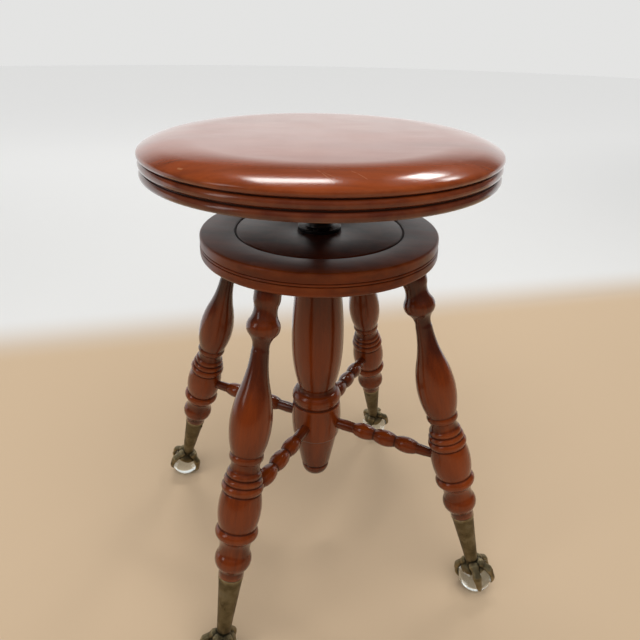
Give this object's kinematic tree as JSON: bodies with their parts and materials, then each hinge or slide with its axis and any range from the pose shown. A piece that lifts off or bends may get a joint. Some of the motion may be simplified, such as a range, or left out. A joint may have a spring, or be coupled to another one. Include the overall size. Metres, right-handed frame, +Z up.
{
  "type": "revolving piano stool",
  "caption": "Round wooden stool seat on a coarse screw above a round platform with turned splayed legs, a centre post, stretchers and claw feet on glass balls.",
  "frame": {"origin": "on the floor, under the middle of the seat", "axes": "+Z up along the seat's screw; the four legs stand at 45 degrees to X and Y"},
  "size_m": [0.365, 0.365, 0.531],
  "materials": {
    "wood": "reddish-brown stained hardwood under glossy varnish",
    "cast_iron": "black japanned cast iron",
    "screw_steel": "dark oiled steel",
    "steel": "dull steel",
    "brass": "dark antique brass casting",
    "glass": "clear moulded glass"
  },
  "bodies": {
    "base": {"platform": "wood", "centre_post": "wood", "screw_nut": "cast_iron", "nut_screws": "steel", "ferrule_nails": "brass", "leg_front_left": "wood", "stretcher_front_left": "wood", "claw_foot_front_left": "brass", "glass_ball_front_left": "glass", "leg_front_right": "wood", "stretcher_front_right": "wood", "claw_foot_front_right": "brass", "glass_ball_front_right": "glass", "leg_back_right": "wood", "stretcher_back_right": "wood", "claw_foot_back_right": "brass", "glass_ball_back_right": "glass", "leg_back_left": "wood", "stretcher_back_left": "wood", "claw_foot_back_left": "brass", "glass_ball_back_left": "glass"},
    "stop": {"stop_washer": "screw_steel"},
    "seat": {"seat": "wood", "seat_spider": "cast_iron", "spider_screws": "steel", "hub_pin": "steel", "lead_screw": "screw_steel", "end_nut": "screw_steel"}
  },
  "joints": [
    {"name": "seat_height", "type": "slide", "parent": "base", "child": "stop", "axis": [0, 0, 1], "range_m": [-0.0223, 0.1271]},
    {"name": "seat_turn", "type": "hinge", "parent": "stop", "child": "seat", "pos_m": [0, 0, 0.434], "axis": [0, 0, 1], "range_deg": [-1260, 7200]}
  ],
  "couplings": [
    {"joint": "seat_height", "follows": "seat_turn", "m_per_rad": 0.0010106}
  ]
}
